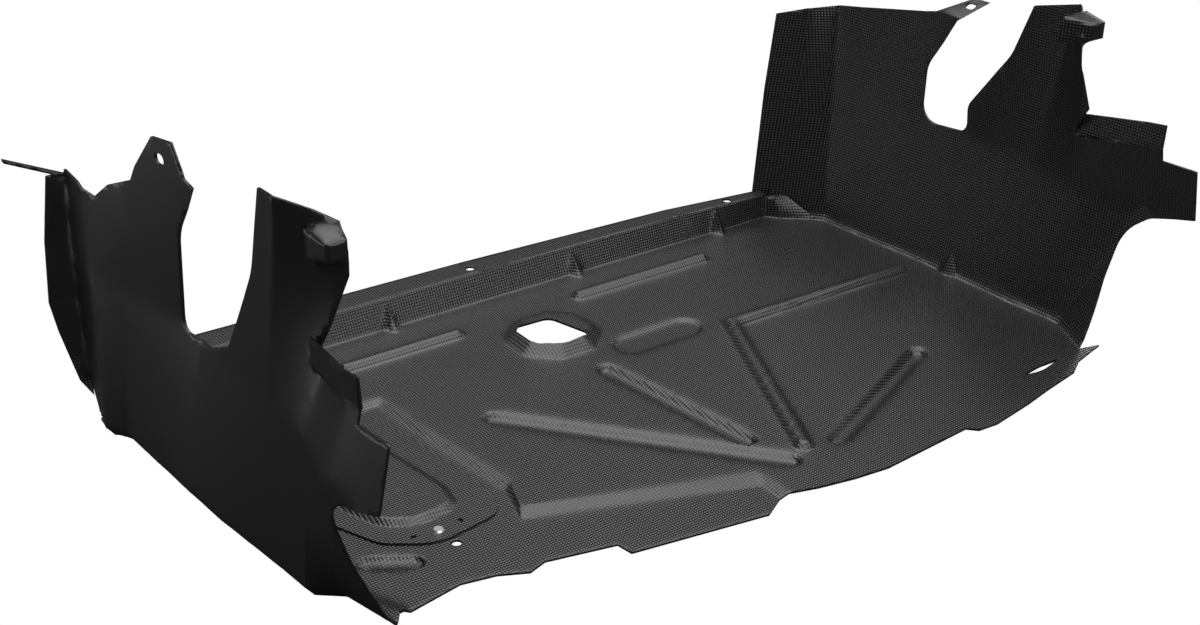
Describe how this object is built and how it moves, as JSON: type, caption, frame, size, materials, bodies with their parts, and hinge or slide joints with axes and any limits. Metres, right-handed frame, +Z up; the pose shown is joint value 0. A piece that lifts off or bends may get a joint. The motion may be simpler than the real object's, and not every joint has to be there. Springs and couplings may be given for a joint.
{
  "type": "engine splash shield",
  "caption": "Black formed engine splash shield: ribbed floor pan, two wheel-arch side walls with axle slots, drilled rear rim, riveted access cover.",
  "frame": {"origin": "bottom centre of the whole shield's bounding box", "axes": "+Z up, +Y towards the rear rim, +X towards the right-hand side wall in the view from the front"},
  "size_m": [1.2082, 0.699, 0.434],
  "materials": {
    "shield_plastic": "satin",
    "cover_plastic": "satin",
    "rivet_metal": "satin"
  },
  "bodies": {
    "root": {"splash_shield": "shield_plastic", "access_cover": "cover_plastic", "cover_rivet": "rivet_metal"}
  },
  "joints": []
}
